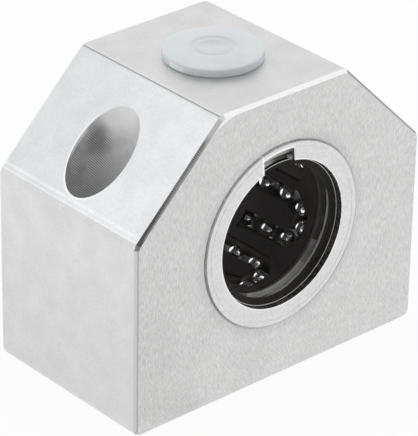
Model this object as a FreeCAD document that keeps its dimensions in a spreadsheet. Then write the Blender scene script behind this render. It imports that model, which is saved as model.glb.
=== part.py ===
import FreeCAD, Part
import math
import os

import Sketcher
from FreeCAD import Placement, Rotation, Vector

# A linear bearing block: an aluminium housing with a recirculating ball bearing for a round shaft.
# Frame: X across the block, Y along the shaft, Z up. The origin is the middle of the base.
# All lengths are in millimetres and all angles in degrees.

DRIVING_SIZES = {
    # housing
    "block_width": 53,
    "block_height": 45,
    "block_length": 30,
    "axis_height": 23,
    "shoulder_height": 30,
    "shoulder_run": 15,
    "edge_bevel": 0.5,
    "foot_bevel": 0.8,
    "mouth_bevel": 0.4,
    # fixing holes, one under each shoulder
    "screw_spacing": 40,
    "screw_hole_dia": 5.3,
    "screw_head_dia": 10.2,
    "screw_seat_height": 22,
    # lubrication hole and its plug
    "oil_hole_dia": 3,
    "plug_hole_dia": 8.6,
    "plug_hole_share": 0.575,
    "plug_clearance": 0.3,
    "plug_head_dia": 14.4,
    "plug_head_rim": 0.8,
    "plug_head_rise": 1.5,
    "plug_floor_gap": 0.8,
    "plug_dish_dia": 6.8,
    "plug_dish_depth": 0.25,
    # shaft and the bearing's outer sleeve
    "shaft_dia": 20,
    "bearing_dia": 28,
    "bearing_proud": 0.2,
    "bearing_turn": 5,
    "sleeve_wall": 0.7,
    "snug_gap": 0.05,
    # split holding ring at each end
    "ring_thickness": 0.8,
    "ring_inside_dia": 22.5,
    "ring_opening": 5.6,
    # wiper seal at each end
    "seal_depth": 2.1,
    "lip_clearance": 0.05,
    "lip_setback": 1.0,
    "lip_flare": 0.7,
    # balls and their closed circuits
    "ball_dia": 2.381,
    "ball_clearance": 0.01,
    "ball_facets": 7,
    "ball_circuits": 6,
    "balls_per_circuit": 11,
    "ball_bunching": 0.8,
    "ball_lead": 0.4,
    "ball_lead_step": 0.7,
    "row_half_angle": 16,
    "track_end_room": 3.7,
    "return_rise": 0.7,
    # cage that guides the balls
    "cage_shaft_gap": 0.25,
    "track_side_gap": 0.12,
    "turn_facets": 3,
    "bridge_thickness": 0.3,
    "bridge_start": 1.6,
    "bridge_length": 2.2,
    "bridge_span": 22,
    "entry_facets": 18,
    "entry_dia": 21.5,
    "entry_depth": 1.15,
    # hardened raceway plate behind each loaded row
    "plate_width": 3.8,
    "plate_end_room": 1.2,
    "plate_shoulder": 0.2,
    "track_play": 0.04,
}

document = FreeCAD.newDocument("linear_bearing_block")
sheet = document.addObject("Spreadsheet::Sheet", "Sizes")
for row, (alias, number) in enumerate(DRIVING_SIZES.items(), start=1):
    sheet.set(f"A{row}", alias)
    sheet.set(f"B{row}", str(number))
    sheet.setAlias(f"B{row}", alias)
document.recompute()


class Size:
    """A length or angle: its number, and the spreadsheet expression that gives it."""

    def __init__(self, number, text):
        self.number = number
        self.text = text

    def __add__(self, other):
        other = as_size(other)
        return Size(self.number + other.number, f"({self.text} + {other.text})")

    def __sub__(self, other):
        other = as_size(other)
        return Size(self.number - other.number, f"({self.text} - {other.text})")

    def __mul__(self, other):
        other = as_size(other)
        return Size(self.number * other.number, f"({self.text} * {other.text})")

    def __truediv__(self, other):
        other = as_size(other)
        return Size(self.number / other.number, f"({self.text} / {other.text})")

    def __neg__(self):
        return Size(-self.number, f"(0 - {self.text})")


def as_size(value):
    """A Size as it is, and a plain number made into one."""
    return value if isinstance(value, Size) else Size(float(value), f"{value:.9g}")


def named(alias):
    """The driving size with this alias."""
    return Size(float(sheet.get(alias)), f"Sizes.{alias}")


def sine(angle):
    angle = as_size(angle)
    return Size(math.sin(math.radians(angle.number)), f"sin({angle.text})")


def cosine(angle):
    angle = as_size(angle)
    return Size(math.cos(math.radians(angle.number)), f"cos({angle.text})")


def root(value):
    return Size(math.sqrt(value.number), f"sqrt({value.text})")


def bind(thing, prop, size):
    thing.setExpression(prop, as_size(size).text)


# ---- bodies, sketches and features ----


def new_body(label):
    body = document.addObject("PartDesign::Body", label)
    body.Label = label
    return body


def new_sketch(body, name, plane, offset=None, turn=None, turn_axis=Vector(0, 1, 0)):
    """A sketch on one of the body's origin planes, moved by offset and turned about turn_axis."""
    sketch = body.newObject("Sketcher::SketchObject", f"{body.Name}_{name}")
    base = [feature for feature in body.Origin.OriginFeatures if feature.Role == plane][0]
    sketch.AttachmentSupport = [(base, "")]
    sketch.MapMode = "FlatFace"
    offset = [as_size(value) for value in (offset or (0, 0, 0))]
    angle = as_size(turn or 0)
    place = Vector(*[value.number for value in offset])
    sketch.AttachmentOffset = Placement(place, Rotation(turn_axis, angle.number))
    for axis, value in zip("xyz", offset):
        if value.number:
            bind(sketch, f"AttachmentOffset.Base.{axis}", value)
    if angle.number:
        bind(sketch, "AttachmentOffset.Rotation.Angle", angle)
    return sketch


def pin_point(sketch, geometry, position, x, y):
    """Ties a point's two coordinates to the spreadsheet. Either may be None."""
    for kind, value in (("DistanceX", x), ("DistanceY", y)):
        if value is None:
            continue
        index = sketch.addConstraint(
            Sketcher.Constraint(kind, -1, 1, geometry, position, value.number)
        )
        bind(sketch, f"Constraints[{index}]", value)


def outline(sketch, corners):
    """A closed outline. A corner is (x, y), or (x, y, centre, way) where an arc about centre starts.

    way is 1 for an arc that runs counter-clockwise to the next corner, and -1 for clockwise.
    """
    corners = [(as_size(c[0]), as_size(c[1])) + tuple(c[2:]) for c in corners]
    edges = []
    for start, stop in zip(corners, corners[1:] + corners[:1]):
        first = Vector(start[0].number, start[1].number)
        last = Vector(stop[0].number, stop[1].number)
        if len(start) == 2:
            index = sketch.addGeometry(Part.LineSegment(first, last))
            edges.append((index, 1, 2))
            continue
        centre, way = start[2], start[3]
        middle = Vector(as_size(centre[0]).number, as_size(centre[1]).number)
        radius = (first - middle).Length
        from_angle = math.atan2(first.y - middle.y, first.x - middle.x)
        to_angle = math.atan2(last.y - middle.y, last.x - middle.x)
        if way < 0:
            from_angle, to_angle = to_angle, from_angle
        circle = Part.Circle(middle, Vector(0, 0, 1), radius)
        index = sketch.addGeometry(Part.ArcOfCircle(circle, from_angle, to_angle))
        pin_point(sketch, index, 3, None, as_size(centre[1]))
        edges.append((index, 1, 2) if way > 0 else (index, 2, 1))
    for number, (edge, following) in enumerate(zip(edges, edges[1:] + edges[:1])):
        sketch.addConstraint(
            Sketcher.Constraint("Coincident", edge[0], edge[2], following[0], following[1])
        )
        pin_point(sketch, edge[0], edge[1], corners[number][0], corners[number][1])


def circle(sketch, x, y, radius):
    x, y, radius = as_size(x), as_size(y), as_size(radius)
    shape = Part.Circle(Vector(x.number, y.number), Vector(0, 0, 1), radius.number)
    index = sketch.addGeometry(shape)
    pin_point(sketch, index, 3, x, y)
    limit = sketch.addConstraint(Sketcher.Constraint("Radius", index, radius.number))
    bind(sketch, f"Constraints[{limit}]", radius)


def pad(body, sketch, length):
    """Material on both sides of the sketch, length in all."""
    feature = body.newObject("PartDesign::Pad", f"{sketch.Name}_pad")
    feature.Profile = sketch
    feature.Midplane = True
    bind(feature, "Length", length)
    document.recompute()
    return feature


def pocket(body, sketch, length=None, along_normal=False):
    """A cut against the sketch's normal, or along it. It goes all the way where no length is given."""
    before = body.Shape.Volume
    feature = body.newObject("PartDesign::Pocket", f"{sketch.Name}_pocket")
    feature.Profile = sketch
    feature.Reversed = along_normal
    if length is None:
        feature.Type = "ThroughAll"
    else:
        bind(feature, "Length", length)
    document.recompute()
    if not body.Shape.Volume < before - 1e-6:
        raise RuntimeError(f"{feature.Name} removes nothing")
    return feature


def revolve(body, sketch, span=360):
    """Material turned about the sketch's upright axis, half of the span on each side of the sketch."""
    feature = body.newObject("PartDesign::Revolution", f"{sketch.Name}_turned")
    feature.Profile = sketch
    feature.ReferenceAxis = (sketch, ["V_Axis"])
    feature.Midplane = True
    feature.Angle = as_size(span).number
    bind(feature, "Angle", span)
    document.recompute()
    return feature


def repeat_around(body, feature, count):
    """The feature repeated about the body's Y axis."""
    pattern = body.newObject("PartDesign::PolarPattern", f"{feature.Name}_ring")
    pattern.Originals = [feature]
    axis = [item for item in body.Origin.OriginFeatures if item.Role == "Y_Axis"][0]
    pattern.Axis = (axis, [""])
    pattern.Angle = 360
    bind(pattern, "Occurrences", count)
    body.Tip = pattern
    document.recompute()
    return pattern


def bevel_edges(body, test, size):
    """A chamfer on the edges of the body so far that pass the test."""
    base = body.Tip
    names = [f"Edge{n}" for n, edge in enumerate(base.Shape.Edges, start=1) if test(edge)]
    if not names:
        raise RuntimeError(f"{body.Label} has no edge to bevel")
    feature = body.newObject("PartDesign::Chamfer", f"{base.Name}_bevel")
    feature.Base = (base, names)
    bind(feature, "Size", size)
    document.recompute()
    return feature


def place_on_axis(thing, turn=0):
    """Puts a piece made about the Y axis on the bearing's axis, turned anticlockwise seen from the front."""
    turn = as_size(turn)
    centre = Vector(0, 0, named("axis_height").number)
    thing.Placement = Placement(centre, Rotation(Vector(0, -1, 0), turn.number))
    bind(thing, "Placement.Base.z", named("axis_height"))
    bind(thing, "Placement.Rotation.Angle", turn)


def is_circle(edge, radius):
    return edge.Curve.TypeId == "Part::GeomCircle" and abs(edge.Curve.Radius - radius) < 1e-4


# ---- sizes that several pieces share ----

shaft_radius = named("shaft_dia") / 2
bearing_radius = named("bearing_dia") / 2
bearing_half = named("block_length") / 2 + named("bearing_proud")
wall_over_bore = named("block_height") - named("axis_height") - bearing_radius
plug_hole_depth = wall_over_bore * named("plug_hole_share")
sleeve_inside = bearing_radius - named("sleeve_wall")
inner_outside = sleeve_inside - named("snug_gap")

ring_back = bearing_half - named("ring_thickness")
seal_front = ring_back - named("snug_gap")
seal_back = seal_front - named("seal_depth")
cage_half = seal_back - named("snug_gap")

ball_radius = named("ball_dia") / 2
loaded_radius = shaft_radius + ball_radius + named("ball_clearance")
return_radius = loaded_radius + named("return_rise")
row_offset = loaded_radius * sine(named("row_half_angle"))
turn_centre = cage_half - named("track_end_room") - row_offset

plate_inside = loaded_radius + ball_radius - named("plate_shoulder")
plate_half_length = turn_centre - named("plate_end_room")


# ---- housing ----


def make_housing():
    """A bevelled slab with two sloping shoulders, a bore, two fixing holes and the oil hole."""
    body = new_body("housing")
    half_width = named("block_width") / 2
    half_length = named("block_length") / 2
    foot = named("foot_bevel")
    shelf = half_width - named("shoulder_run")
    profile = new_sketch(body, "profile", "XZ_Plane")
    right_side = [
        (half_width - foot, 0),
        (half_width, foot),
        (half_width, named("shoulder_height")),
        (shelf, named("block_height")),
    ]
    left_side = [(-x, z) for x, z in reversed(right_side)]
    outline(profile, right_side + left_side)
    pad(body, profile, named("block_length"))

    def on_end_face(edge):
        return all(abs(abs(point.Point.y) - half_length.number) < 1e-6 for point in edge.Vertexes)

    bevel_edges(body, on_end_face, named("edge_bevel"))

    bore = new_sketch(body, "bore", "XZ_Plane", offset=(0, 0, half_length))
    circle(bore, 0, named("axis_height"), bearing_radius)
    pocket(body, bore)
    bevel_edges(body, lambda edge: is_circle(edge, bearing_radius.number), named("mouth_bevel"))

    hole_place = named("screw_spacing") / 2
    shank = new_sketch(body, "screw_hole", "XY_Plane")
    head = new_sketch(body, "screw_head", "XY_Plane", offset=(0, 0, named("screw_seat_height")))
    for x in (-hole_place, hole_place):
        circle(shank, x, 0, named("screw_hole_dia") / 2)
        circle(head, x, 0, named("screw_head_dia") / 2)
    pocket(body, shank, along_normal=True)
    pocket(body, head, along_normal=True)

    top = (0, 0, named("block_height"))
    plug_hole = new_sketch(body, "plug_hole", "XY_Plane", offset=top)
    circle(plug_hole, 0, 0, named("plug_hole_dia") / 2)
    pocket(body, plug_hole, plug_hole_depth)
    oil_hole = new_sketch(body, "oil_hole", "XY_Plane", offset=top)
    circle(oil_hole, 0, 0, named("oil_hole_dia") / 2)
    pocket(body, oil_hole, named("block_height") - named("axis_height"))
    return body


# ---- plug over the oil hole ----


def make_cover_plug():
    """A push-in plug: a domed head with a shallow round dish, on a plain stem."""
    body = new_body("cover_plug")
    head = named("plug_head_dia") / 2
    rim = named("plug_head_rim")
    rise = named("plug_head_rise")
    dish = named("plug_dish_dia") / 2
    floor = rise - named("plug_dish_depth")
    stem = named("plug_hole_dia") / 2 - named("plug_clearance")
    length = plug_hole_depth - named("plug_floor_gap")
    profile = new_sketch(body, "profile", "XZ_Plane")
    corners = [
        (0, floor),
        (0, -length),
        (stem, -length),
        (stem, 0),
        (head, 0),
        (head, rim / 2),
        (head - rim / 2, rim),
        (dish, rise),
        (dish, floor),
    ]
    outline(profile, corners)
    revolve(body, profile)
    body.Placement = Placement(Vector(0, 0, named("block_height").number), Rotation())
    bind(body, "Placement.Base.z", named("block_height"))
    return body


# ---- bearing: sleeve, holding rings and wiper seals ----


def make_outer_sleeve():
    """A thin steel tube with an oil hole at the top."""
    body = new_body("outer_sleeve")
    profile = new_sketch(body, "profile", "XY_Plane")
    outline(
        profile,
        [
            (sleeve_inside, -bearing_half),
            (bearing_radius, -bearing_half),
            (bearing_radius, bearing_half),
            (sleeve_inside, bearing_half),
        ],
    )
    revolve(body, profile)
    hole = new_sketch(body, "oil_hole", "XY_Plane")
    circle(hole, 0, 0, named("oil_hole_dia") / 2)
    pocket(body, hole, along_normal=True)
    place_on_axis(body)
    return body


def make_holding_ring(label, side):
    """A flat split ring, flush with the sleeve's end. side is -1 at the front and 1 at the back."""
    body = new_body(label)
    inside = named("ring_inside_dia") / 2
    profile = new_sketch(body, "profile", "XY_Plane")
    face = bearing_half * side
    back = ring_back * side
    outline(
        profile,
        [
            (inside, face),
            (inner_outside, face),
            (inner_outside, back),
            (inside, back),
        ],
    )
    revolve(body, profile)
    opening = new_sketch(body, "opening", "XY_Plane")
    half = named("ring_opening") / 2
    slack = named("ring_thickness")
    outline(
        opening,
        [
            (-half, face + slack * side),
            (half, face + slack * side),
            (half, back - slack * side),
            (-half, back - slack * side),
        ],
    )
    pocket(body, opening, along_normal=True)
    place_on_axis(body, named("bearing_turn"))
    return body


def make_wiper_seal(label, side):
    """A rubber ring whose tapered lip runs on the shaft. side is -1 at the front and 1 at the back."""
    body = new_body(label)
    land = shaft_radius + named("lip_clearance")
    profile = new_sketch(body, "profile", "XY_Plane")
    corners = [
        (inner_outside, seal_front),
        (land + named("lip_flare"), seal_front),
        (land, seal_front - named("lip_setback")),
        (land, seal_back),
        (inner_outside, seal_back),
    ]
    outline(profile, [(x, y * side) for x, y in corners])
    revolve(body, profile)
    place_on_axis(body, named("bearing_turn"))
    return body


# ---- ball cage ----


def rounded_loop(reach, corner_angles):
    """Corners of a closed path round the two turns of a circuit. Reach is that of its corners."""
    front = [(reach * cosine(a), turn_centre + reach * sine(a)) for a in corner_angles]
    return front + [(-x, -y) for x, y in front]


def track_ring(sketch, half_width):
    """The closed path of one ball circuit, drawn as a band around an island.

    Each turn has flat facets. The outer ones touch the round path from outside and the island's from
    inside, so that a ball has its room everywhere.
    """
    facets = int(named("turn_facets").number)
    step = 180 / (facets + 1)
    outer_angles = [step * (number + 0.5) for number in range(facets + 1)]
    outer_reach = (row_offset + half_width) / cosine(step / 2)
    outline(sketch, rounded_loop(outer_reach, outer_angles))
    island_angles = [180 * number / facets for number in range(facets + 1)]
    outline(sketch, rounded_loop(row_offset - half_width, island_angles))


def make_ball_cage():
    """A moulded cage: an open track and a bridge for each circuit, plate seats and faceted mouths."""
    body = new_body("ball_cage")
    bore = shaft_radius + named("cage_shaft_gap")
    circuits = named("ball_circuits")

    wall = new_sketch(body, "wall", "XY_Plane")
    outline(
        wall,
        [
            (bore, -cage_half),
            (inner_outside, -cage_half),
            (inner_outside, cage_half),
            (bore, cage_half),
        ],
    )
    revolve(body, wall)

    half_width = ball_radius + named("track_side_gap")
    track = new_sketch(body, "track", "XY_Plane")
    track_ring(track, half_width)
    repeat_around(body, pocket(body, track, along_normal=True), circuits)

    bridge = new_sketch(body, "bridge", "XY_Plane", turn=named("row_half_angle") - 90)
    start = named("bridge_start")
    stop = start + named("bridge_length")
    top = bore + named("bridge_thickness")
    outline(bridge, [(bore, start), (top, start), (top, stop), (bore, stop)])
    repeat_around(body, revolve(body, bridge, named("bridge_span")), circuits)

    gap = named("snug_gap")
    seat_height = plate_inside - gap
    angle = named("row_half_angle")
    seat = new_sketch(
        body,
        "plate_seat",
        "XY_Plane",
        offset=(-(seat_height * sine(angle)), 0, seat_height * cosine(angle)),
        turn=-angle,
    )
    half_width = named("plate_width") / 2 + gap
    half_length = plate_half_length + gap
    outline(
        seat,
        [
            (-half_width, -half_length),
            (half_width, -half_length),
            (half_width, half_length),
            (-half_width, half_length),
        ],
    )
    repeat_around(body, pocket(body, seat, along_normal=True), circuits)

    facets = int(named("entry_facets").number)
    for name, side in (("front_mouth", 1), ("back_mouth", -1)):
        mouth = new_sketch(body, name, "XZ_Plane", offset=(0, 0, cage_half * side))
        corner_radius = named("entry_dia") / 2 / cosine(180 / facets)
        corner_angles = [90 + 360 * (number + 0.5) / facets for number in range(facets)]
        outline(
            mouth,
            [(corner_radius * cosine(a), corner_radius * sine(a)) for a in corner_angles],
        )
        pocket(body, mouth, named("entry_depth"), along_normal=side < 0)
    place_on_axis(body, named("bearing_turn"))
    return body


# ---- raceway plates and balls ----


def make_raceway_plate(number):
    """A hardened plate with a round-bottomed track for the loaded row of one circuit."""
    body = new_body(f"raceway_plate_{number + 1}")
    half = named("plate_width") / 2
    track = ball_radius + named("track_play")
    track_half = root(track * track - (plate_inside - loaded_radius) * (plate_inside - loaded_radius))
    crown = root(inner_outside * inner_outside - half * half)
    section = new_sketch(body, "section", "XZ_Plane")
    outline(
        section,
        [
            (half, plate_inside),
            (half, crown, (0, 0), 1),
            (-half, crown),
            (-half, plate_inside),
            (-track_half, plate_inside, (0, loaded_radius), -1),
            (track_half, plate_inside),
        ],
    )
    pad(body, section, plate_half_length * 2)
    circuit_turn = named("bearing_turn") + Size(360 * number, str(360 * number)) / named("ball_circuits")
    place_on_axis(body, circuit_turn + named("row_half_angle"))
    return body


def make_ball(centre, radius):
    """A ball of flat facets, in rows from pole to pole, with its corners on the true sphere."""
    sides = int(named("ball_facets").number)
    rows = (sides + 1) // 2

    def corner(row, side):
        tilt = math.pi * row / rows
        turn = 2 * math.pi * side / sides
        across = math.sin(tilt)
        return centre + Vector(across * math.cos(turn), across * math.sin(turn), math.cos(tilt)) * radius

    facets = []
    for row in range(rows):
        for side in range(sides):
            corners = [corner(row, side), corner(row + 1, side)]
            if row < rows - 1:
                corners.append(corner(row + 1, side + 1))
            if row > 0:
                corners.append(corner(row, side + 1))
            facets.append(Part.Face(Part.makePolygon(corners + corners[:1])))
    return Part.makeSolid(Part.makeShell(facets))


def make_ball_circuit(number):
    """The balls of one closed circuit: a loaded row on the shaft and a return row further out."""
    label = f"ball_circuit_{number + 1}"
    radius = ball_radius.number
    offset = row_offset.number
    straight = 2 * turn_centre.number
    half_turn = math.pi * offset
    path_length = 2 * (straight + half_turn)
    count = int(named("balls_per_circuit").number)
    circuits = int(named("ball_circuits").number)
    inner, outer = loaded_radius.number, return_radius.number
    phase = (named("ball_lead").number + named("ball_lead_step").number * number) % 1

    def on_path(distance):
        """Sideways place, place along the shaft, and share of the way to the return row."""
        distance = (distance + half_turn / 2) % path_length
        if distance < half_turn:
            angle = distance / offset
            return -offset * math.cos(angle), -straight / 2 - offset * math.sin(angle), angle / math.pi
        distance -= half_turn
        if distance < straight:
            return offset, distance - straight / 2, 1
        distance -= straight
        if distance < half_turn:
            angle = distance / offset
            return offset * math.cos(angle), straight / 2 + offset * math.sin(angle), 1 - angle / math.pi
        return -offset, straight / 2 - (distance - half_turn), 0

    balls = []
    for index in range(count):
        step = index + phase
        swing = math.sin(4 * math.pi * step / count)
        x, y, share = on_path(path_length * step / count - named("ball_bunching").number * swing)
        reach = inner + (outer - inner) * (1 - math.cos(math.pi * share)) / 2
        height = math.sqrt(reach * reach - x * x)
        balls.append(make_ball(Vector(x, y, height), radius))
    group = document.addObject("Part::Feature", label)
    group.Shape = Part.makeCompound(balls)
    group.Label = label
    place_on_axis(group, named("bearing_turn").number + 360 * number / circuits)
    return group


def make_all():
    circuits = range(int(named("ball_circuits").number))
    pieces = [
        make_housing(),
        make_cover_plug(),
        make_outer_sleeve(),
        make_holding_ring("front_holding_ring", -1),
        make_holding_ring("rear_holding_ring", 1),
        make_wiper_seal("front_wiper_seal", -1),
        make_wiper_seal("rear_wiper_seal", 1),
        make_ball_cage(),
    ]
    pieces += [make_raceway_plate(number) for number in circuits]
    pieces += [make_ball_circuit(number) for number in circuits]
    return pieces


pieces = make_all()
document.recompute()

# ---- checks and files ----

for thing in document.Objects:
    if "Invalid" in thing.State or "Error" in thing.State:
        raise RuntimeError(f"{thing.Name} failed: {thing.State}")
for piece in pieces:
    if piece.Shape.isNull() or not piece.Shape.isValid():
        raise RuntimeError(f"{piece.Label} has no valid shape")

os.makedirs("parts", exist_ok=True)
for piece in pieces:
    piece.Shape.exportStep(f"parts/{piece.Label}.step")
    print(piece.Label, round(piece.Shape.Volume, 3), len(piece.Shape.Solids), "solids")
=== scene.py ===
import math

import bmesh
import bpy
from mathutils import Matrix, Vector


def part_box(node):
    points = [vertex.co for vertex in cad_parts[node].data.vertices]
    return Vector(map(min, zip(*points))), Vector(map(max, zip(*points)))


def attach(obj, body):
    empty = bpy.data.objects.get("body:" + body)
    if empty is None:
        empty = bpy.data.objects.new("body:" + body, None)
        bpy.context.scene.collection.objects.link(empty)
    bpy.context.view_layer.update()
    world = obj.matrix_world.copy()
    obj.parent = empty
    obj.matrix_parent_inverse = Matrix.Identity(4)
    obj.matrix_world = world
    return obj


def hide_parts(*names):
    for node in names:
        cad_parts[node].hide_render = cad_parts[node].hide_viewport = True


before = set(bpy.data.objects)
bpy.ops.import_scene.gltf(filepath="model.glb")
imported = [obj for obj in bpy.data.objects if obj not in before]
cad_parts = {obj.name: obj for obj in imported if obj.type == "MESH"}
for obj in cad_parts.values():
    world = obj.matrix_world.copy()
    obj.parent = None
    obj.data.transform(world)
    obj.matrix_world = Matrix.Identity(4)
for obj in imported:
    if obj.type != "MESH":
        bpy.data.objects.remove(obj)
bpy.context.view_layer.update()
MM = 0.001

# ---------------------------------------------------------------------------
# Housing. A slab sawn from a drawn aluminium bar. The ends are face milled, which leaves crossing
# arcs, the shoulders are left smooth, and the edges of the ends are filed.
# ---------------------------------------------------------------------------

housing_half_width, housing_half_length, housing_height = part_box("housing")[1]
shoulder_height = 30 * MM
crest_half_width = 11.5 * MM
edge_bevel = 0.5 * MM
screw_place = 20 * MM
screw_pocket_radius = 5.1 * MM
bore_height = 23 * MM
bore_radius = 14 * MM
cutter_radius = 40 * MM
diagonal = math.sqrt(0.5)


def feed(node, sockets):
    """Sets or links a node's inputs."""
    for name, value in sockets.items():
        value = getattr(value, "socket", value)
        if isinstance(value, bpy.types.NodeSocket):
            node.id_data.links.new(value, node.inputs[name])
        else:
            node.inputs[name].default_value = value
    return node


def put(tree, kind, sockets=None, **options):
    """Adds a node, sets its options, and sets or links its inputs."""
    node = tree.nodes.new(kind)
    for name, value in options.items():
        setattr(node, name, value)
    return feed(node, sockets or {})


class Field:
    """A value that varies over a surface. Sums written with it become Math nodes."""

    def __init__(self, tree, socket):
        self.tree = tree
        self.socket = socket

    def step(self, operation, *values):
        return Field(self.tree, put(self.tree, "ShaderNodeMath", dict(enumerate(values)),
                                    operation=operation).outputs[0])

    def __add__(self, other):
        return self.step("ADD", self, other)

    def __sub__(self, other):
        return self.step("SUBTRACT", self, other)

    def __rsub__(self, other):
        return self.step("SUBTRACT", other, self)

    def __mul__(self, other):
        return self.step("MULTIPLY", self, other)

    def __truediv__(self, other):
        return self.step("DIVIDE", self, other)

    def __rtruediv__(self, other):
        return self.step("DIVIDE", other, self)

    def __neg__(self):
        return self * -1.0

    def __abs__(self):
        return self.step("ABSOLUTE", self)

    def ramp(self, low, high, out_low=0.0, out_high=1.0):
        """Carried smoothly from one range to another, and level beyond it."""
        sockets = {"Value": self, "From Min": low, "From Max": high, "To Min": out_low, "To Max": out_high}
        node = put(self.tree, "ShaderNodeMapRange", sockets, interpolation_type="SMOOTHSTEP")
        return Field(self.tree, node.outputs["Result"])

    def band(self, low, high, soft):
        """One between two limits, falling softly to nought outside them."""
        return self.ramp(low - soft, low) * self.ramp(high + soft, high)

    def mix(self, first, second):
        """A value that goes from the first to the second as this one goes from 0 to 1."""
        node = put(self.tree, "ShaderNodeMix", {0: self, 2: first, 3: second}, data_type="FLOAT")
        return Field(self.tree, node.outputs[0])

    def blend(self, first, second):
        """A colour that goes from the first to the second as this value goes from 0 to 1."""
        return put(self.tree, "ShaderNodeMix", {0: self, 6: first, 7: second}, data_type="RGBA").outputs[2]


def largest(first, second):
    return first.step("MAXIMUM", first, second)


def distance(first, second):
    """How far a point lies from the middle, given how far it lies along two directions."""
    squares = first * first + second * second
    return squares.step("SQRT", squares)


def angle(rise, run):
    return rise.step("ARCTAN2", rise, run)


def split(tree, vector):
    """The three parts of a vector."""
    parts = put(tree, "ShaderNodeSeparateXYZ", {0: vector}).outputs
    return [Field(tree, parts[axis]) for axis in "XYZ"]


def join(tree, **parts):
    """A vector from its parts."""
    return put(tree, "ShaderNodeCombineXYZ", parts).outputs[0]


def noise(tree, place, scale, detail=2.0):
    node = put(tree, "ShaderNodeTexNoise", {"Vector": place, "Scale": scale, "Detail": detail})
    return Field(tree, node.outputs[0])


def dot(tree, first, second):
    node = put(tree, "ShaderNodeVectorMath", {0: first, 1: second}, operation="DOT_PRODUCT")
    return Field(tree, node.outputs["Value"])


def grey(value):
    return (value, value, value, 1)


def tinted(tree, colour, tint):
    """A colour multiplied by another."""
    return put(tree, "ShaderNodeMix", {0: 1.0, 6: colour, 7: tint}, data_type="RGBA",
               blend_type="MULTIPLY").outputs[2]


def bumps(tree, height, strength, depth, **more):
    """The normal of a surface that rises and falls with a height."""
    return put(tree, "ShaderNodeBump", {"Height": height, "Strength": strength, "Distance": depth,
                                        **more}).outputs[0]


def new_group(name, inputs, outputs):
    """An empty shader group with named inputs and outputs: (tree, its inputs, its output node)."""
    tree = bpy.data.node_groups.new(name, "ShaderNodeTree")
    for label, (kind, value) in inputs.items():
        socket = tree.interface.new_socket(label, in_out="INPUT", socket_type=kind)
        if value is not None:
            socket.default_value = value
    for label, kind in outputs.items():
        tree.interface.new_socket(label, in_out="OUTPUT", socket_type=kind)
    given = tree.nodes.new("NodeGroupInput").outputs
    return tree, {label: Field(tree, given[label]) for label in inputs}, tree.nodes.new("NodeGroupOutput")


def use_group(tree, group, sockets):
    """A group placed in a material with its own values: its outputs by name."""
    made = put(tree, "ShaderNodeGroup", sockets, node_tree=group).outputs
    return {socket.name: Field(tree, socket) for socket in made}


def new_material(name):
    """A node material with a Principled shader: (material, its tree, the shader)."""
    material = bpy.data.materials.new(name)
    material.use_nodes = True
    tree = material.node_tree
    return material, tree, tree.nodes["Principled BSDF"]


def make_mottle_group():
    """Cloudy spots of two sizes, such as a metal or moulded surface has."""
    tree, given, made = new_group(
        "mottle",
        {
            "Position": ("NodeSocketVector", None),
            "Spot Scale": ("NodeSocketFloat", 400.0),
            "Grain Scale": ("NodeSocketFloat", 3000.0),
            "Grain Share": ("NodeSocketFloat", 0.4),
        },
        {"Value": "NodeSocketFloat"},
    )
    spots = noise(tree, given["Position"], given["Spot Scale"], 4.0)
    grain = noise(tree, given["Position"], given["Grain Scale"])
    feed(made, {"Value": given["Grain Share"].mix(spots, grain)})
    return tree


def make_mill_arcs_group():
    """Crossing scratches that a round cutter leaves as it travels along X over an end face."""
    tree, given, made = new_group(
        "mill_arcs",
        {
            "Position": ("NodeSocketVector", None),
            "Cutter Radius": ("NodeSocketFloat", 0.036),
            "Middle Height": ("NodeSocketFloat", 0.0225),
            "Scratch Scale": ("NodeSocketFloat", 3600.0),
            "Stretch": ("NodeSocketFloat", 0.16),
        },
        {"Value": "NodeSocketFloat"},
    )
    x, y, z = split(tree, given["Position"])
    radius = given["Cutter Radius"]
    up = z - given["Middle Height"]
    squares = radius * radius - up * up
    reach = squares.step("SQRT", squares)
    squeezed = z * given["Stretch"]
    leading = noise(tree, join(tree, X=x + reach, Y=y, Z=squeezed), given["Scratch Scale"])
    trailing = noise(tree, join(tree, X=x - reach, Y=y, Z=squeezed), given["Scratch Scale"])
    feed(made, {"Value": (leading * 0.55 + trailing * 0.45).ramp(0.34, 0.66)})
    return tree


def make_tool_lines_group():
    """Fine lines at an even pitch across one direction, made to wander by noise."""
    tree, given, made = new_group(
        "tool_lines",
        {
            "Position": ("NodeSocketVector", None),
            "Direction": ("NodeSocketVector", (0.0, 0.0, 1.0)),
            "Pitch": ("NodeSocketFloat", 0.0003),
            "Wander": ("NodeSocketFloat", 0.0001),
            "Noise Scale": ("NodeSocketFloat", 500.0),
        },
        {"Height": "NodeSocketFloat"},
    )
    along = dot(tree, given["Position"], given["Direction"])
    wander = (noise(tree, given["Position"], given["Noise Scale"]) - 0.5) * given["Wander"]
    wave = (along + wander) * (2 * math.pi / given["Pitch"])
    feed(made, {"Height": wave.step("SINE", wave).ramp(-1.0, 1.0)})
    return tree


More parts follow.
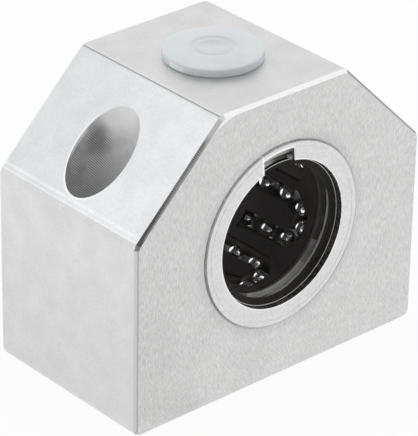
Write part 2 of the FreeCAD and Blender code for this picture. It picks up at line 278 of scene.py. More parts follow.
def make_pocket_wall_group():
    """The turned wall of a screw pocket: a painted shade with tool lines, a painted dark spot and a painted
    highlight, and its normal.
    """
    tree, given, made = new_group(
        "pocket_wall",
        {
            "Position": ("NodeSocketVector", None),
            "Across": ("NodeSocketFloat", 0.0),
            "Radius": ("NodeSocketFloat", 0.0051),
            "Lines": ("NodeSocketFloat", 0.0),
        },
        {"Shade": "NodeSocketFloat", "Inward": "NodeSocketVector"},
    )
    dark_spot_turn, dark_spot_height, dark_spot_squash = math.radians(57), 35.6 * MM, 0.7
    highlight_turn, highlight_height = math.radians(22), 40.5 * MM
    x, y, z = split(tree, given["Position"])
    across, radius = given["Across"], given["Radius"]
    turn = angle(y, across)
    patchy = noise(tree, given["Position"], 420.0, 3.0)
    from_dark_spot = distance((turn - dark_spot_turn) * radius, (z - dark_spot_height) * dark_spot_squash)
    from_highlight = distance((turn - highlight_turn) * radius, z - highlight_height)

    # the painted shade changes round the wall and with height, dims at the painted dark spot and brightens
    # at the painted highlight
    shade_value = (-turn).ramp(math.radians(-115), 0.0, 0.56, 0.95) * z.ramp(27 * MM, 41 * MM, 1.10, 0.95)
    shade_value = shade_value * (1.0 - from_dark_spot.ramp(2.6 * MM, 0.5 * MM, 0.0, 0.56))
    shade_value = shade_value + from_highlight.ramp(4.4 * MM, 0.8 * MM, 0.0, 0.62)
    shade_value = shade_value * patchy.ramp(0.3, 0.7, 0.86, 1.14)
    strength = patchy.ramp(0.38, 0.62, 0.15, 1.10) * z.ramp(35 * MM, 41 * MM, 1.0, 0.45)
    shade_value = shade_value * ((given["Lines"] - 0.5) * strength + 1.0)

    inward = join(tree, X=across * x.step("SIGN", x), Y=-y)
    inward = put(tree, "ShaderNodeVectorMath", {0: inward}, operation="NORMALIZE").outputs[0]
    feed(made, {"Shade": shade_value, "Inward": inward})
    return tree


mottle_group = make_mottle_group()
mill_arcs_group = make_mill_arcs_group()
tool_lines_group = make_tool_lines_group()
pocket_wall_group = make_pocket_wall_group()


def mottled(tree, position, spot_scale, grain_scale, grain_share):
    """The mottle group placed in a material."""
    return use_group(tree, mottle_group, {"Position": position, "Spot Scale": spot_scale,
                                          "Grain Scale": grain_scale, "Grain Share": grain_share})["Value"]


def make_milled_aluminium():
    """Aluminium that is finished by kind of face, told apart by where each lies and how it faces."""
    material, tree, shader = new_material("milled_aluminium")
    coordinates = put(tree, "ShaderNodeTexCoord").outputs
    position = coordinates["Object"]
    x, y, z = split(tree, position)
    side_facing, end_facing, up_facing = split(tree, coordinates["Normal"])
    side_facing, end_facing = abs(side_facing), abs(end_facing)
    outward = abs(x)

    # the flat faces
    on_end = end_facing.ramp(0.93, 0.99)
    on_side = side_facing.ramp(0.93, 0.99)
    on_top = up_facing.ramp(0.93, 0.99) * z.ramp(housing_height - 1.0 * MM, housing_height - 0.5 * MM)
    on_shoulder = up_facing.band(0.62, 0.80, 0.05) * side_facing.band(0.62, 0.80, 0.05)
    on_right = x.ramp(-0.1 * MM, 0.1 * MM)

    # the screw pockets, with tool lines that slant round the wall
    across = screw_place - outward
    from_screw = distance(across, y)
    in_pocket = from_screw.ramp(screw_pocket_radius + 0.03 * MM, screw_pocket_radius)
    in_pocket = in_pocket * z.ramp(0.1 * MM, 0.4 * MM)
    round_wall = angle(y, across) * (1.08 * screw_pocket_radius)
    turned = use_group(tree, tool_lines_group, {
        "Position": join(tree, X=z * 0.2, Z=z - round_wall), "Direction": (0.0, 0.0, 1.0),
        "Pitch": 0.42 * MM, "Wander": 0.16 * MM, "Noise Scale": 700.0})["Height"]
    wall = use_group(tree, pocket_wall_group, {"Position": position, "Across": across,
                                               "Radius": screw_pocket_radius, "Lines": turned})

    # the bevelled edges of the ends, and the bevelled mouth of the bore
    from_axis = distance(x, z - bore_height)
    slanted = end_facing.band(0.40, 0.85, 0.1)
    slanted = slanted * abs(y).ramp(housing_half_length - 0.75 * MM, housing_half_length - 0.65 * MM)
    outside_mouth = from_axis.ramp(bore_radius + 0.6 * MM, bore_radius + 0.8 * MM)
    on_edge = slanted * outside_mouth
    on_mouth = slanted * (1.0 - outside_mouth)

    # colours of the smooth and of the milled faces
    mottle = mottled(tree, position, 230.0, 2600.0, 0.45)
    spots = mottle.ramp(0.32, 0.68)
    arcs = use_group(tree, mill_arcs_group, {
        "Position": position, "Cutter Radius": cutter_radius, "Middle Height": housing_height / 2,
        "Scratch Scale": 4200.0, "Stretch": 0.25})["Value"]
    smooth = spots.blend((0.685, 0.69, 0.685, 1), (0.79, 0.792, 0.79, 1))
    # a painted bluish tint of reflected light on the shoulders
    smooth = tinted(tree, smooth, on_shoulder.blend(grey(1.0), (0.985, 1.0, 1.015, 1)))
    milled = (spots * 0.36 + arcs * 0.64).blend((0.58, 0.58, 0.577, 1), (0.82, 0.82, 0.816, 1))
    colour = on_end.blend(smooth, milled)

    # how bright each face is, with the shade round the plug and round the bearing
    from_plug = distance(x + 0.5 * MM, y + 0.9 * MM)
    level = on_shoulder.mix(1.0, y.ramp(12 * MM, -9 * MM, 1.05, 1.15))
    level = on_side.mix(level, z.ramp(4 * MM, 28 * MM, 0.965, 1.045))
    level = on_top.mix(level, from_plug.ramp(7.3 * MM, 9.8 * MM, 0.93, 0.955))
    level = on_end.mix(level, from_axis.ramp(bore_radius + 0.4 * MM, bore_radius + 2.0 * MM, 0.90, 1.0))

    # painted light: a dark line of painted shade along the crest, bands of painted highlight low on the
    # shoulder, a line of painted shade just below the shoulder on the side, and a painted highlight on the
    # lit half of the rim round a pocket
    crest_line = outward.band(crest_half_width - 0.02 * MM, crest_half_width + 0.1 * MM, 0.05 * MM)
    crest_line = crest_line * z.ramp(housing_height - 0.4 * MM, housing_height - 0.2 * MM)
    level = (crest_line * end_facing.ramp(0.2, 0.1)).mix(level, 0.42)
    lower_band = z.band(shoulder_height, shoulder_height + 0.45 * MM, 0.15 * MM)
    upper_band = z.band(shoulder_height + 0.90 * MM, shoulder_height + 1.05 * MM, 0.15 * MM)
    level = (on_shoulder * largest(lower_band, upper_band) * 0.5).mix(level, 1.35)
    below_shoulder = z.band(shoulder_height - 0.3 * MM, shoulder_height - 0.08 * MM, 0.08 * MM)
    level = (on_side * below_shoulder * 0.5).mix(level, 0.88)
    rim = from_screw.band(screw_pocket_radius + 0.02 * MM, screw_pocket_radius + 0.20 * MM, 0.06 * MM)
    lit_half = (y * 0.67 - across * 0.75).ramp(-1.5 * MM, 2.5 * MM)
    level = (on_shoulder * rim * lit_half).mix(level, 1.35)
    level_colour = put(tree, "ShaderNodeCombineColor", {0: level, 1: level, 2: level}).outputs[0]
    colour = tinted(tree, colour, level_colour)
    # the pocket walls get the pocket wall group's painted shade, dark spot and highlight, with their tool
    # lines
    colour = in_pocket.blend(colour, wall["Shade"].blend((0.02, 0.018, 0.015, 1), (0.94, 0.94, 0.945, 1)))

    # the left shoulder's edge in painted light: a dark painted reflection crossed by real fine file marks,
    # a paler inner half and a painted white highlight at its upper end
    beyond = (outward + z) * diagonal - (housing_half_width + shoulder_height) * diagonal
    along_edge = ((housing_half_width - outward) + (z - shoulder_height)) * diagonal
    filed = use_group(tree, tool_lines_group, {
        "Position": join(tree, X=-outward, Y=y, Z=z), "Direction": (diagonal, 0.0, diagonal),
        "Pitch": 0.30 * MM, "Wander": 0.16 * MM, "Noise Scale": 900.0})["Height"]
    left = (filed * along_edge.ramp(4 * MM, 11 * MM, 0.15, 1.0)).blend(grey(0.11), grey(0.55))
    inner_half = (beyond + filed * (0.12 * MM)).ramp(-0.22 * MM, -0.34 * MM)
    inner_half = inner_half * along_edge.ramp(0.8 * MM, 2.2 * MM)
    left = (inner_half * 0.85).blend(left, grey(0.60))
    left = along_edge.ramp(16.2 * MM, 18.6 * MM).blend(left, grey(0.85))

    # painted light on the right shoulder's edge with its dark inner part, a painted darker line on the
    # uprights, a painted white highlight on the top edge, and the mouth of the bore painted pale to lift
    # its shade
    right = beyond.ramp(-0.30 * MM, -0.22 * MM).blend((0.62, 0.62, 0.61, 1), grey(0.22))
    upright_line = outward.band(housing_half_width - 0.45 * MM, housing_half_width - 0.35 * MM, 0.06 * MM)
    upright = (upright_line * 0.7).blend(grey(0.78), grey(0.45))
    edge = up_facing.ramp(0.15, 0.35).blend(upright, on_right.blend(left, right))
    edge = up_facing.ramp(0.55, 0.66).blend(edge, grey(0.92))
    colour = on_edge.blend(colour, edge)
    colour = on_mouth.blend(colour, spots.blend((0.80, 0.80, 0.795, 1), (0.96, 0.96, 0.95, 1)))

    # the rounded inner corner of the painted white highlight on the top edge
    corner_reach = 2.2 * MM
    short_of_top = largest(corner_reach - (housing_height - edge_bevel - z), 0.0)
    short_of_slope = largest(corner_reach - (-edge_bevel - beyond), 0.0)
    cut = distance(short_of_top, short_of_slope).ramp(corner_reach - 0.06 * MM, corner_reach + 0.06 * MM)
    colour = (cut * on_end * (1.0 - on_right)).blend(colour, grey(0.95))

    dull = largest(in_pocket * 0.88, on_mouth * 0.7)
    dull_edge = on_edge * 0.75 * up_facing.ramp(0.66, 0.55)
    roughness = in_pocket.mix(mottle.ramp(0.3, 0.7, 0.36, 0.46), 0.35)
    height = arcs * on_end + turned * (in_pocket * 1.5) + mottle * 0.35
    on_wall = in_pocket * abs(up_facing).ramp(0.3, 0.2)
    facing = put(tree, "ShaderNodeNewGeometry").outputs["Normal"]
    facing = put(tree, "ShaderNodeMix", {0: on_wall, 4: facing, 5: wall["Inward"]}, data_type="VECTOR")
    feed(shader, {
        "Base Color": colour,
        "Roughness": on_edge.mix(roughness, 0.3),
        "Metallic": 1.0 - largest(dull, dull_edge),
        "Normal": bumps(tree, height, 0.35, 0.02 * MM, Normal=facing.outputs[1]),
    })
    return material


def dress(node_name, material):
    """Gives a CAD node's surface this material."""
    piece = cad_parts[node_name]
    piece.data.materials.clear()
    piece.data.materials.append(material)


dress("housing", make_milled_aluminium())

# ---------------------------------------------------------------------------
# Bearing sleeve, holding rings and raceway plates. The sleeve is a thin tube of satin steel. A flat
# ring of the same steel, with a gap, is pressed into each end of it and holds the seal and the cage.
# A thin seam closes the joint round each ring. The plates behind the loaded balls are ground.
# ---------------------------------------------------------------------------

bearing_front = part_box("outer_sleeve")[0].y
bearing_turn = math.radians(5)
ring_inside = 11.25 * MM
ring_outside = 13.25 * MM
gap_half_width = 2.8 * MM
seam_profile = [(13.22, 0.04), (13.32, 0.04), (13.32, 0.75), (13.22, 0.75)]
ring_segments = 160
circuit_count = 6


def keep(name, shape):
    """Keeps a bmesh as a new object, with its faces pointing outwards."""
    bmesh.ops.recalc_face_normals(shape, faces=shape.faces)
    mesh = bpy.data.meshes.new(name)
    shape.to_mesh(mesh)
    shape.free()
    piece = bpy.data.objects.new(name, mesh)
    bpy.context.scene.collection.objects.link(piece)
    return piece


def lathe(name, profile, segments):
    """A closed ring turned about the bearing's axis from (radius, y) points."""
    shape = bmesh.new()
    rings = []
    for number in range(segments):
        turn = 2 * math.pi * number / segments
        rings.append([
            shape.verts.new((radius * math.cos(turn), y, bore_height + radius * math.sin(turn)))
            for radius, y in profile
        ])
    count = len(profile)
    for number in range(segments):
        here, there = rings[number], rings[(number + 1) % segments]
        for step in range(count):
            after = (step + 1) % count
            shape.faces.new((here[step], here[after], there[after], there[step]))
    return keep(name, shape)


def shade(piece, material, sharp_angle=35):
    """One material all over, smooth apart from edges sharper than the angle."""
    piece.data.materials.clear()
    piece.data.materials.append(material)
    piece.data.shade_smooth()
    piece.data.set_sharp_from_angle(angle=math.radians(sharp_angle))
    return piece


def make_ground_steel():
    material, tree, shader = new_material("ground_steel")
    mottle = mottled(tree, put(tree, "ShaderNodeTexCoord").outputs["Object"], 350.0, 2200.0, 0.6)
    feed(shader, {
        "Base Color": mottle.ramp(0.3, 0.7).blend((0.66, 0.66, 0.65, 1), (0.78, 0.78, 0.77, 1)),
        "Roughness": mottle.ramp(0.3, 0.7, 0.25, 0.35),
        "Metallic": 1.0,
        "Normal": bumps(tree, mottle, 0.25, 0.01 * MM),
    })
    return material


def make_ring_steel():
    """Satin steel, with painted highlights along the ring's inner edge and on the cut edges of its gap. The
    ring's inner wall and a ragged margin of its face on the right are darkened.
    """
    material, tree, shader = new_material("ring_steel")
    coordinates = put(tree, "ShaderNodeTexCoord").outputs
    x, _, z = split(tree, coordinates["Object"])
    end_facing = abs(split(tree, coordinates["Normal"])[1])
    up = z - bore_height
    from_axis = distance(x, up)
    mottle = mottled(tree, coordinates["Object"], 350.0, 2600.0, 0.7)
    colour = mottle.ramp(0.3, 0.7).blend(grey(0.70), grey(0.83))
    # a painted highlight along the ring's inner edge
    bright = from_axis.ramp(ring_inside + 0.25 * MM, ring_inside + 0.15 * MM)
    colour = (bright * 0.8).blend(colour, grey(0.97))

    # painted highlights on the cut edges of the ring's gap
    beside = x * math.cos(bearing_turn) + up * math.sin(bearing_turn)
    above_axis = up.ramp(8 * MM, 9 * MM)
    outline = 0.25 * MM
    gap_side = beside.band(-gap_half_width - outline, -gap_half_width, 0.05 * MM) * above_axis
    gap_arc = beside.band(-gap_half_width - outline, gap_half_width, 0.1 * MM)
    gap_arc = gap_arc * from_axis.band(ring_outside - 0.01 * MM, ring_outside + 0.27 * MM, 0.05 * MM)
    colour = largest(gap_side, gap_arc * above_axis).blend(colour, grey(1.0))

    # the inner wall and a ragged margin of the face on the right are darkened
    ragged = from_axis + (mottle - 0.5) * (0.30 * MM)
    ragged_margin = ragged.ramp(ring_inside + 0.06 * MM, ring_inside + 0.02 * MM) * x.ramp(3 * MM, 6 * MM)
    inner = largest(ragged_margin, end_facing.ramp(0.5, 0.3))
    inner = inner * from_axis.ramp(ring_inside + 0.35 * MM, ring_inside + 0.15 * MM)
    darkened_colour = mottle.ramp(0.36, 0.66).blend((0.018, 0.017, 0.016, 1), (0.15, 0.145, 0.14, 1))
    feed(shader, {
        "Base Color": inner.blend(colour, darkened_colour),
        "Roughness": mottle.ramp(0.3, 0.7, 0.34, 0.44),
        "Metallic": 1.0 - inner * 0.7,
        "Normal": bumps(tree, mottle, 0.25, 0.01 * MM),
    })
    return material


ground_steel = make_ground_steel()
ring_steel = make_ring_steel()
dress("outer_sleeve", ring_steel)
for number in range(1, circuit_count + 1):
    dress(f"raceway_plate_{number}", ground_steel)
for end, side in (("front", 1), ("rear", -1)):
    dress(f"{end}_holding_ring", ring_steel)
    points = [(radius * MM, side * (bearing_front + depth * MM)) for radius, depth in seam_profile]
    seam = shade(lathe(f"{end}_ring_seam", points, ring_segments), ring_steel)
    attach(seam, "block")

# ---------------------------------------------------------------------------
# Wiper seals. Each is a moulded rubber ring behind the holding ring: a rim, two grooves, and a lip
# that tapers to the edge that wipes the shaft. A small pip sits in the gap of the holding ring.
# ---------------------------------------------------------------------------

seal_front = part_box("front_wiper_seal")[0].y
seal_profile = [
    (13.25, 0.00), (12.80, 0.00), (12.76, 0.06), (12.14, 0.06), (12.10, 0.40), (12.02, 0.40), (11.98, 0.12),
    (11.45, 0.12), (11.40, 0.40), (11.20, 0.40), (11.16, 0.03), (11.11, 0.00), (11.04, 0.00), (11.00, 0.05),
    (10.12, 0.38), (10.06, 0.44), (10.06, 0.56), (10.60, 1.00), (11.05, 1.60), (11.10, 2.10), (13.25, 2.10),
]
pip_radius = 0.42 * MM
pip_segments = 24
pip_steps = 12
pip_from_axis = 11.75 * MM
pip_from_middle = 14.72 * MM
pip_from_gap = math.radians(11.2)


def make_black_rubber():
    """Black rubber, greyer on the two ledges that the ring's gap shows, with painted light on the inner one
    that grows towards the left, and a painted highlight on the rim.
    """
    material, tree, shader = new_material("black_rubber")
    position = put(tree, "ShaderNodeTexCoord").outputs["Object"]
    x, _, z = split(tree, position)
    from_axis = distance(x, z - bore_height)
    mottle = mottled(tree, position, 500.0, 3500.0, 0.5)
    colour = mottle.ramp(0.3, 0.7).blend((0.012, 0.011, 0.010, 1), (0.030, 0.028, 0.026, 1))
    # painted light on the inner ledge, strongest towards the left
    painted_light_share = x.ramp(-0.6 * MM, -2.6 * MM) * 0.88 + 0.12
    inner_ledge = from_axis.band(11.45 * MM, 12.0 * MM, 0.05 * MM) * painted_light_share
    outer_ledge = from_axis.band(12.15 * MM, 12.75 * MM, 0.04 * MM)
    # a painted highlight along the rim
    rim_highlight = from_axis.band(11.03 * MM, 11.12 * MM, 0.03 * MM)
    wiping_edge = from_axis.ramp(10.13 * MM, 10.08 * MM) * 0.12
    for pale_mark, pale_colour in (
        (inner_ledge, (0.50, 0.495, 0.49, 1)),
        (outer_ledge, (0.55, 0.545, 0.54, 1)),
        (rim_highlight, (0.85, 0.84, 0.83, 1)),
        (wiping_edge, (0.30, 0.29, 0.28, 1)),
    ):
        colour = pale_mark.blend(colour, pale_colour)
    feed(shader, {
        "Base Color": colour,
        "Roughness": mottle.ramp(0.3, 0.7, 0.32, 0.5),
        "Specular IOR Level": 0.08,
        "Normal": bumps(tree, mottle, 0.3, 0.02 * MM),
    })
    return material


def make_worn_rubber():
    material, tree, shader = new_material("worn_rubber")
    mottle = mottled(tree, put(tree, "ShaderNodeTexCoord").outputs["Object"], 1500.0, 4500.0, 0.5)
    feed(shader, {
        "Base Color": mottle.ramp(0.4, 0.6).blend((0.06, 0.058, 0.056, 1), (0.38, 0.375, 0.37, 1)),
        "Roughness": 0.45,
    })
    return material


def turned_upright(name, profile, segments):
    """A solid turned about Z from (radius, z) points that start and end on the axis."""
    shape = bmesh.new()
    bottom = shape.verts.new((0, 0, profile[0][1]))
    top = shape.verts.new((0, 0, profile[-1][1]))
    rings = []
    for number in range(segments):
        turn = 2 * math.pi * number / segments
        rings.append([
            shape.verts.new((radius * math.cos(turn), radius * math.sin(turn), z))
            for radius, z in profile[1:-1]
        ])
    for number in range(segments):
        here, there = rings[number], rings[(number + 1) % segments]
        shape.faces.new((bottom, there[0], here[0]))
        shape.faces.new((top, here[-1], there[-1]))
        for step in range(len(here) - 1):
            shape.faces.new((here[step], there[step], there[step + 1], here[step + 1]))
    return keep(name, shape)


black_rubber = make_black_rubber()
worn_rubber = make_worn_rubber()
pip_profile = []
for step in range(pip_steps + 1):
    turn = math.pi * step / pip_steps
    pip_profile.append((pip_radius * math.sin(turn), -pip_radius * math.cos(turn)))
for end, side in (("front", 1), ("rear", -1)):
    points = [(radius * MM, side * (seal_front + depth * MM)) for radius, depth in seal_profile]
    seal = shade(lathe(f"{end}_seal_ring", points, ring_segments), black_rubber)
    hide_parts(f"{end}_wiper_seal")
    pip_turn = math.pi / 2 + bearing_turn - side * pip_from_gap
    pip_place = Vector((pip_from_axis * math.cos(pip_turn), -side * pip_from_middle,
                        bore_height + pip_from_axis * math.sin(pip_turn)))
    pip = turned_upright(f"{end}_seal_pip", pip_profile, pip_segments)
    pip.data.transform(Matrix.Translation(pip_place))
    shade(pip, worn_rubber)
    for piece in (seal, pip):
        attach(piece, "block")

# ---------------------------------------------------------------------------
# Ball cage. One piece of black moulded plastic with glossy walls. Each mouth has eighteen flats,
# and fine ribs run across them.
# ---------------------------------------------------------------------------

mouth_flats = 18
mouth_profile = [(11.08, 12.37), (10.43, 11.90), (10.83, 11.86), (11.11, 12.20)]
rib_ring_radius = 10.53 * MM
rib_from_middle = 12.13 * MM
rib_length = 0.80 * MM
rib_tilt = math.radians(54)
rib_count = 234


def make_cage_plastic(name, dark, light, roughness, gleam, palest_flat=None):
    """Black moulded plastic with painted light: paler inside the tracks to lift their shade, or with flats
    painted paler low on one side.
    """
    material, tree, shader = new_material(name)
    position = put(tree, "ShaderNodeTexCoord").outputs["Object"]
    x, _, z = split(tree, position)
    up = z - bore_height
    mottle = mottled(tree, position, 300.0, 2500.0, 0.3)
    colour = mottle.ramp(0.3, 0.7).blend(dark, light)
    if palest_flat is None:
        # painted light: the insides of the tracks are paler, to lift the shade in them
        in_track = distance(x, up).ramp(10.45 * MM, 10.8 * MM)
        colour = in_track.blend(colour, (0.22, 0.211, 0.202, 1))
    else:
        # painted light: the flats round -75 degrees, low on one side, are painted paler
        flat_angle = 2 * math.pi / mouth_flats
        turn = angle(up, x) / flat_angle
        away = abs(turn.step("ROUND", turn) * flat_angle - math.radians(-75))
        colour = away.ramp(math.radians(62), math.radians(10)).blend(colour, palest_flat)
    feed(shader, {
        "Base Color": colour,
        "Roughness": mottle.ramp(0.3, 0.7, roughness, roughness + 0.15),
        "Specular IOR Level": gleam,
        "Normal": bumps(tree, mottle, 0.15, 0.02 * MM),
    })
    return material


def make_rib_tree():
    """Thin bars in a ring about the Y axis, each turned to face the axis."""
    tree = bpy.data.node_groups.new("mouth_ribs", "GeometryNodeTree")
    tree.interface.new_socket("Geometry", in_out="INPUT", socket_type="NodeSocketGeometry")
    for label, kind, value in (
        ("Count", "NodeSocketInt", rib_count),
        ("Ring Radius", "NodeSocketFloat", rib_ring_radius),
        ("Rib Width", "NodeSocketFloat", 0.15 * MM),
        ("Rib Rise", "NodeSocketFloat", 0.10 * MM),
        ("Rib Length", "NodeSocketFloat", rib_length),
        ("Rib Tilt", "NodeSocketFloat", rib_tilt),
        ("Finish", "NodeSocketMaterial", None),
    ):
        socket = tree.interface.new_socket(label, in_out="INPUT", socket_type=kind)
        if value is not None:
            socket.default_value = value
    tree.interface.new_socket("Geometry", in_out="OUTPUT", socket_type="NodeSocketGeometry")
    given = tree.nodes.new("NodeGroupInput").outputs
    made = tree.nodes.new("NodeGroupOutput")
    ring = put(tree, "GeometryNodeMeshCircle", {"Vertices": given["Count"], "Radius": given["Ring Radius"]})
    size = join(tree, X=given["Rib Rise"], Y=given["Rib Width"], Z=given["Rib Length"])
    cube = put(tree, "GeometryNodeMeshCube", {"Size": size})
    bar = put(tree, "GeometryNodeTransform", {"Geometry": cube.outputs["Mesh"],
                                              "Rotation": join(tree, Y=given["Rib Tilt"])})
    place = put(tree, "GeometryNodeInputPosition").outputs[0]
    turned = put(tree, "FunctionNodeAlignRotationToVector", {"Vector": place}, axis="X", pivot_axis="Z")
    bars = put(tree, "GeometryNodeInstanceOnPoints", {
        "Points": ring.outputs["Mesh"], "Instance": bar.outputs["Geometry"], "Rotation": turned.outputs[0]})
    laid = put(tree, "GeometryNodeTransform", {"Geometry": bars.outputs[0],
                                               "Rotation": (math.pi / 2, 0.0, 0.0)})
    real = put(tree, "GeometryNodeRealizeInstances", {"Geometry": laid.outputs[0]})
    feed(made, {0: put(tree, "GeometryNodeSetMaterial", {"Geometry": real.outputs[0],
                                                         "Material": given["Finish"]}).outputs[0]})
    return tree


def grow(name, tree, values, base=None):
    """Runs a geometry tree and keeps its result as a plain mesh object."""
    start = bpy.data.objects.new(name + "_start", base or bpy.data.meshes.new(name + "_start"))
    bpy.context.scene.collection.objects.link(start)
    modifier = start.modifiers.new("shape", "NODES")
    modifier.node_group = tree
    for item in tree.interface.items_tree:
        if item.in_out == "INPUT" and item.name in values:
            modifier[item.identifier] = values[item.name]
    bpy.context.view_layer.update()
    mesh = bpy.data.meshes.new_from_object(start.evaluated_get(bpy.context.evaluated_depsgraph_get()))
    mesh.name = name
    bpy.data.objects.remove(start)
    piece = bpy.data.objects.new(name, mesh)
    bpy.context.scene.collection.objects.link(piece)
    return piece


cage_plastic = make_cage_plastic("cage_plastic", (0.054, 0.049, 0.047, 1), (0.078, 0.072, 0.070, 1), 0.5,
                                 0.15)
rib_plastic = make_cage_plastic("rib_plastic", (0.045, 0.044, 0.042, 1), (0.085, 0.083, 0.08, 1), 0.45, 0.4,
                                (0.80, 0.79, 0.78, 1))
groove_plastic = make_cage_plastic("groove_plastic", (0.02, 0.02, 0.019, 1), (0.035, 0.034, 0.032, 1), 0.45,
                                   0.4, (0.42, 0.415, 0.41, 1))
dress("ball_cage", cage_plastic)
rib_tree = make_rib_tree()
for end, side in (("front", -1), ("rear", 1)):
    ribs = grow(f"{end}_mouth_ribs", rib_tree, {"Finish": rib_plastic})
    ribs.data.transform(Matrix.Translation((0, -rib_from_middle, bore_height)))
    if side > 0:
        ribs.data.transform(Matrix.Scale(-1, 4, (0, 1, 0)))
        ribs.data.flip_normals()
    points = [(radius * MM, side * y * MM) for radius, y in mouth_profile]
    mouth = lathe(f"{end}_mouth_flats", points, mouth_flats)
    mouth.data.materials.append(groove_plastic)
    for piece in (ribs, mouth):
        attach(piece, "block")

# ---------------------------------------------------------------------------
# Balls. Polished bearing steel. Each closed circuit is one piece, with a ball wherever the frame's
# circuit has one.
# ---------------------------------------------------------------------------

ball_radius = 2.381 / 2 * MM


def ball_centres(node_name):
    """The middle of each separate ball of a circuit, as a mesh of single points."""
    shape = bmesh.new()
    shape.from_mesh(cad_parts[node_name].data)
    bmesh.ops.remove_doubles(shape, verts=shape.verts, dist=1e-6)
    waiting = set(shape.verts)
    centres = []
    while waiting:
        found, edge = set(), {next(iter(waiting))}
        while edge:
            found |= edge
            edge = {link.other_vert(vert) for vert in edge for link in vert.link_edges} - found
        waiting -= found
        # the corners are sorted before they are added up, so that every run rounds them alike
        corners = sorted(vert.co[:] for vert in found)
        centres.append([sum(values) / len(corners) for values in zip(*corners)])
    shape.free()
    points = bpy.data.meshes.new(node_name + "_centres")
    points.from_pydata(sorted(centres), [], [])
    return points


def make_ball_tree():
    """A smooth ball on every point."""
    tree = bpy.data.node_groups.new("balls", "GeometryNodeTree")
    tree.interface.new_socket("Geometry", in_out="INPUT", socket_type="NodeSocketGeometry")
    tree.interface.new_socket("Ball Radius", in_out="INPUT", socket_type="NodeSocketFloat")
    tree.interface.new_socket("Finish", in_out="INPUT", socket_type="NodeSocketMaterial")
    tree.interface.new_socket("Geometry", in_out="OUTPUT", socket_type="NodeSocketGeometry")
    given = tree.nodes.new("NodeGroupInput").outputs
    made = tree.nodes.new("NodeGroupOutput")
    ball = put(tree, "GeometryNodeMeshIcoSphere", {"Radius": given["Ball Radius"], "Subdivisions": 4})
    smooth = put(tree, "GeometryNodeSetShadeSmooth", {"Geometry": ball.outputs["Mesh"]})
    balls = put(tree, "GeometryNodeInstanceOnPoints", {"Points": given["Geometry"],
                                                       "Instance": smooth.outputs[0]})
    real = put(tree, "GeometryNodeRealizeInstances", {"Geometry": balls.outputs[0]})
    feed(made, {0: put(tree, "GeometryNodeSetMaterial", {"Geometry": real.outputs[0],
                                                         "Material": given["Finish"]}).outputs[0]})
    return tree


def make_polished_steel():
    material, tree, shader = new_material("polished_steel")
    mottle = mottled(tree, put(tree, "ShaderNodeTexCoord").outputs["Object"], 900.0, 5000.0, 0.3)
    feed(shader, {
        "Base Color": mottle.blend(grey(0.93), grey(0.98)),
        "Roughness": mottle.ramp(0.3, 0.7, 0.04, 0.09),
        "Metallic": 1.0,
    })
    return material


ball_tree = make_ball_tree()
polished_steel = make_polished_steel()
for number in range(1, circuit_count + 1):
    circuit = f"ball_circuit_{number}"
    balls = grow(f"balls_{number}", ball_tree, {"Ball Radius": ball_radius, "Finish": polished_steel},
                 ball_centres(circuit))
    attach(balls, "block")
    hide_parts(circuit)

# ---------------------------------------------------------------------------
# Cover plug. Milky plastic, moulded in one piece: a flat domed head with a shallow round dish, on a
# stem that pushes into the oil hole. It pulls out for greasing.
# ---------------------------------------------------------------------------

plug_low, plug_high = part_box("cover_plug")
head_radius = plug_high.x
head_rise = plug_high.z - housing_height
rim_height = 1.17 * MM
dome_height = 1.25 * MM
dome_inset = 0.25 * MM
dome_steps = 12
stem_radius = 4.0 * MM
stem_bevel = 0.4 * MM
dish_radius = 3.4 * MM
dish_depth = 0.18 * MM
dish_ring_radii = (2.12 * MM, 2.2 * MM, 2.42 * MM, 2.5 * MM)
dish_ring_rise = 0.08 * MM
plug_segments = 128
plug_sharp_angle = 50


def make_milky_plastic():
    """Milky plastic, with a painted highlight on the left of the rim."""
    material, tree, shader = new_material("milky_plastic")
    position = put(tree, "ShaderNodeTexCoord").outputs["Object"]
    x, y, z = split(tree, position)
    mottle = mottled(tree, position, 250.0, 1500.0, 0.3)
    # a painted highlight low on the left of the rim
    gleam = angle(y, -x).band(math.radians(-11), math.radians(6), math.radians(6))
    gleam = gleam * z.band(housing_height + 0.25 * MM, housing_height + 0.75 * MM, 0.2 * MM)
    colour = mottle.ramp(0.3, 0.7).blend((0.735, 0.768, 0.78, 1), (0.785, 0.812, 0.825, 1))
    feed(shader, {
        "Base Color": gleam.blend(colour, grey(1.0)),
        "Roughness": mottle.ramp(0.3, 0.7, 0.28, 0.40),
        "Subsurface Weight": 0.25,
        "Subsurface Scale": 0.5 * MM,
        "Normal": bumps(tree, mottle, 0.2, 0.05 * MM),
    })
    return material


rim_profile = [
    (head_radius - 0.12 * MM, 0.0),
    (head_radius - 0.07 * MM, 0.04 * MM),
    (head_radius - 0.02 * MM, 0.10 * MM),
    (head_radius, 0.20 * MM),
    (head_radius - 0.04 * MM, 1.05 * MM),
    (head_radius - 0.10 * MM, rim_height),
]
dome_profile = []
for step in range(dome_steps + 1):
    share = step / dome_steps
    radius = (head_radius - dome_inset) * (1 - share) + dish_radius * share
    dome_profile.append((radius, dome_height + (head_rise - dome_height) * math.sin(share * math.pi / 2)))
ring_low, ring_top = head_rise - dish_depth, head_rise - dish_depth + dish_ring_rise
dish_profile = [
    (dish_radius - 0.12 * MM, head_rise - 0.05 * MM),
    (dish_radius - 0.22 * MM, head_rise - 0.16 * MM),
    (dish_ring_radii[3], ring_low),
    (dish_ring_radii[2], ring_top),
    (dish_ring_radii[1], ring_top),
    (dish_ring_radii[0], ring_low),
    (0, ring_low),
]
plug_profile = [
    (0, plug_low.z),
    (stem_radius - stem_bevel, plug_low.z),
    (stem_radius, plug_low.z + stem_bevel),
    (stem_radius, housing_height),
] + [(radius, housing_height + rise) for radius, rise in rim_profile + dome_profile + dish_profile]
plug = turned_upright("oil_hole_plug", plug_profile, plug_segments)
shade(plug, make_milky_plastic(), plug_sharp_angle)
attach(plug, "plug")
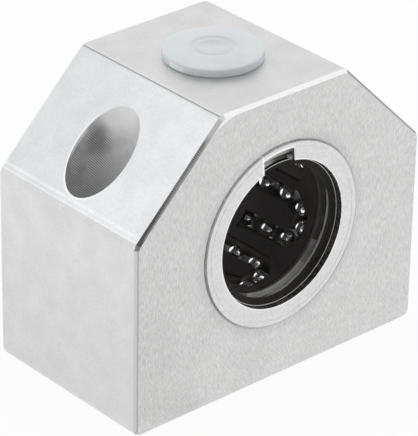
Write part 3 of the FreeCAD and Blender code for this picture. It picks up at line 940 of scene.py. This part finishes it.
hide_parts("cover_plug")

# ---------------------------------------------------------------------------
# Studio. A white floor, a white room of even light that is darker on the side where the camera
# stands, and the camera.
# ---------------------------------------------------------------------------

camera_azimuth, camera_elevation, camera_roll = (math.radians(v) for v in (41.786, 28.589, 1.07))
camera_distance = 442.557 * MM
camera_shift_right, camera_shift_up = -0.2219 * MM, -2.4014 * MM
aim = Vector((0, 0, 22 * MM))
floor_half_width = 2.0
floor_drop = 0.02 * MM
dark_side_direction = Vector((-0.45, -0.74, 0.50)).normalized()


def make_camera():
    """A long lens that looks down on the front left corner."""
    forward = Vector((
        math.sin(camera_azimuth) * math.cos(camera_elevation),
        math.cos(camera_azimuth) * math.cos(camera_elevation),
        -math.sin(camera_elevation),
    ))
    level_right = Vector((math.cos(camera_azimuth), -math.sin(camera_azimuth), 0))
    level_up = level_right.cross(forward)
    right = math.cos(camera_roll) * level_right + math.sin(camera_roll) * level_up
    up = -math.sin(camera_roll) * level_right + math.cos(camera_roll) * level_up
    place = aim - forward * camera_distance + camera_shift_right * right + camera_shift_up * up
    lens = bpy.data.cameras.new("camera")
    lens.lens = 256.19
    lens.sensor_width = 36
    lens.clip_start, lens.clip_end = 0.01, 10
    camera = bpy.data.objects.new("camera", lens)
    camera.matrix_world = Matrix.Translation(place) @ Matrix((right, up, -forward)).transposed().to_4x4()
    bpy.context.scene.collection.objects.link(camera)
    bpy.context.scene.camera = camera


def make_floor():
    """A white floor that takes a soft shadow. It lies a hair below the base, so that they don't meet."""
    corners = [(x * floor_half_width, y * floor_half_width, -floor_drop)
               for x, y in ((-1, -1), (1, -1), (1, 1), (-1, 1))]
    mesh = bpy.data.meshes.new("floor")
    mesh.from_pydata(corners, [], [(0, 1, 2, 3)])
    floor = bpy.data.objects.new("floor", mesh)
    bpy.context.scene.collection.objects.link(floor)
    material = bpy.data.materials.new("white_floor")
    material.use_nodes = True
    tree = material.node_tree
    tree.nodes.remove(tree.nodes["Principled BSDF"])
    matte = put(tree, "ShaderNodeBsdfDiffuse", {"Color": grey(0.93)}).outputs[0]
    glow = put(tree, "ShaderNodeEmission", {"Color": grey(1), "Strength": 1.0}).outputs[0]
    path = put(tree, "ShaderNodeLightPath").outputs
    seen = largest(Field(tree, path["Is Camera Ray"]), path["Is Glossy Ray"])
    share = largest(seen, path["Is Transmission Ray"]) * 0.93
    feed(tree.nodes["Material Output"], {
        "Surface": put(tree, "ShaderNodeMixShader", {0: share, 1: matte, 2: glow}).outputs[0]})
    mesh.materials.append(material)


def make_room():
    """Even white light from all round, with a darker side that only reflections and shading see."""
    world = bpy.data.worlds.new("studio")
    world.use_nodes = True
    tree = world.node_tree
    towards_dark = dot(tree, put(tree, "ShaderNodeTexCoord").outputs["Generated"], dark_side_direction)
    light = towards_dark.ramp(0.72, 0.93).blend(grey(1.0), grey(0.10))
    in_view = Field(tree, put(tree, "ShaderNodeLightPath").outputs["Is Camera Ray"])
    feed(tree.nodes["Background"], {"Color": in_view.blend(light, grey(1)), "Strength": 1.0})
    bpy.context.scene.world = world


make_camera()
make_floor()
make_room()
bpy.context.scene.view_settings.view_transform = "Standard"
